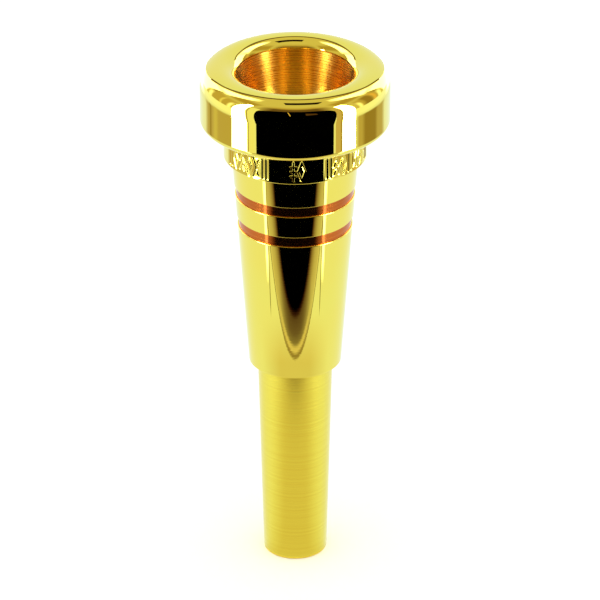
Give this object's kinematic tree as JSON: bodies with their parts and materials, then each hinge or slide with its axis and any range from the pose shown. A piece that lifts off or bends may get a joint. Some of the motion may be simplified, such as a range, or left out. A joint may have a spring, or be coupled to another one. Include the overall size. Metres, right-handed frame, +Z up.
{
  "type": "brass mouthpiece",
  "caption": "Heavy turned trumpet mouthpiece: screw-on rim and collar over a cup, banded tapered body sleeve, screw-in tapered shank with backbore.",
  "frame": {"origin": "centre of the shank's tip face, which is the lowest point of the standing mouthpiece", "axes": "+Z up along the axis of turning, from the shank's tip towards the rim"},
  "size_m": [0.0282, 0.0282, 0.0819],
  "materials": {
    "polished_gold": "gold plated and mirror polished",
    "satin_gold_cup": "gold plated: polished neck band, finely turned satin bowl",
    "satin_gold_shank": "gold plated, satin from fine turning marks",
    "copper_band": "bare copper, satin",
    "seal_rubber": "matt"
  },
  "bodies": {
    "cup": {"cup": "satin_gold_cup"},
    "rim_seal": {"rim_seal": "seal_rubber"},
    "rim": {"rim": "polished_gold"},
    "sleeve": {"body_sleeve": "polished_gold", "upper_band": "copper_band", "lower_band": "copper_band"},
    "shank": {"shank": "satin_gold_shank", "shank_seal": "seal_rubber"}
  },
  "joints": [
    {"name": "rim_lift", "type": "slide", "parent": "cup", "child": "rim_seal", "axis": [0, 0, 1], "range_m": [0, 0.006]},
    {"name": "rim_turn", "type": "hinge", "parent": "rim_seal", "child": "rim", "pos_m": [0, 0, 0.0731], "axis": [0, 0, 1], "range_deg": [0, 2160]},
    {"name": "sleeve_drop", "type": "slide", "parent": "cup", "child": "sleeve", "axis": [0, 0, -1], "range_m": [0, 0.007]},
    {"name": "shank_turn", "type": "hinge", "parent": "sleeve", "child": "shank", "pos_m": [0, 0, 0.044], "axis": [0, 0, -1], "range_deg": [0, 2520]}
  ],
  "couplings": [
    {"joint": "rim_lift", "follows": "rim_turn", "m_per_rad": 0.00015915},
    {"joint": "sleeve_drop", "follows": "shank_turn", "m_per_rad": 0.00015915}
  ]
}
